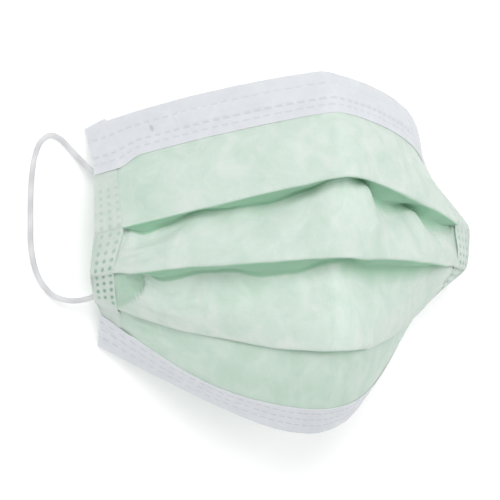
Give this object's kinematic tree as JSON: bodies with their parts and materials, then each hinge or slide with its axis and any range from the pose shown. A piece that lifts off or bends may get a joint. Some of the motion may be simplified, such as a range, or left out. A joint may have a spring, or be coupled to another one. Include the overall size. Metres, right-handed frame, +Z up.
{
  "type": "surgical face mask",
  "caption": "Pleated surgical face mask, opened into a dome and resting on its corners, with bound nose and chin edges, welded side hems and elastic ear loops.",
  "frame": {"origin": "middle of the resting footprint, on the table", "axes": "+X across the mask, +Y towards the nose edge, +Z up out of the table, away from the hollow side"},
  "size_m": [0.1522, 0.1226, 0.0789],
  "materials": {
    "green_nonwoven": "spunbond polypropylene, fine matt fibres",
    "hem_nonwoven": "welded nonwoven with rows of pressed dots",
    "white_nonwoven": "white nonwoven strip with pressed dashes",
    "wire": "plastic covered wire",
    "elastic": "knitted elastic"
  },
  "bodies": {
    "root": {"pleated_panel": "green_nonwoven", "nose_binding": "white_nonwoven", "chin_binding": "white_nonwoven", "nose_wire": "wire", "side_hem_left": "hem_nonwoven", "side_hem_right": "hem_nonwoven", "ear_loop_left": "elastic", "ear_loop_right": "elastic"}
  },
  "joints": []
}
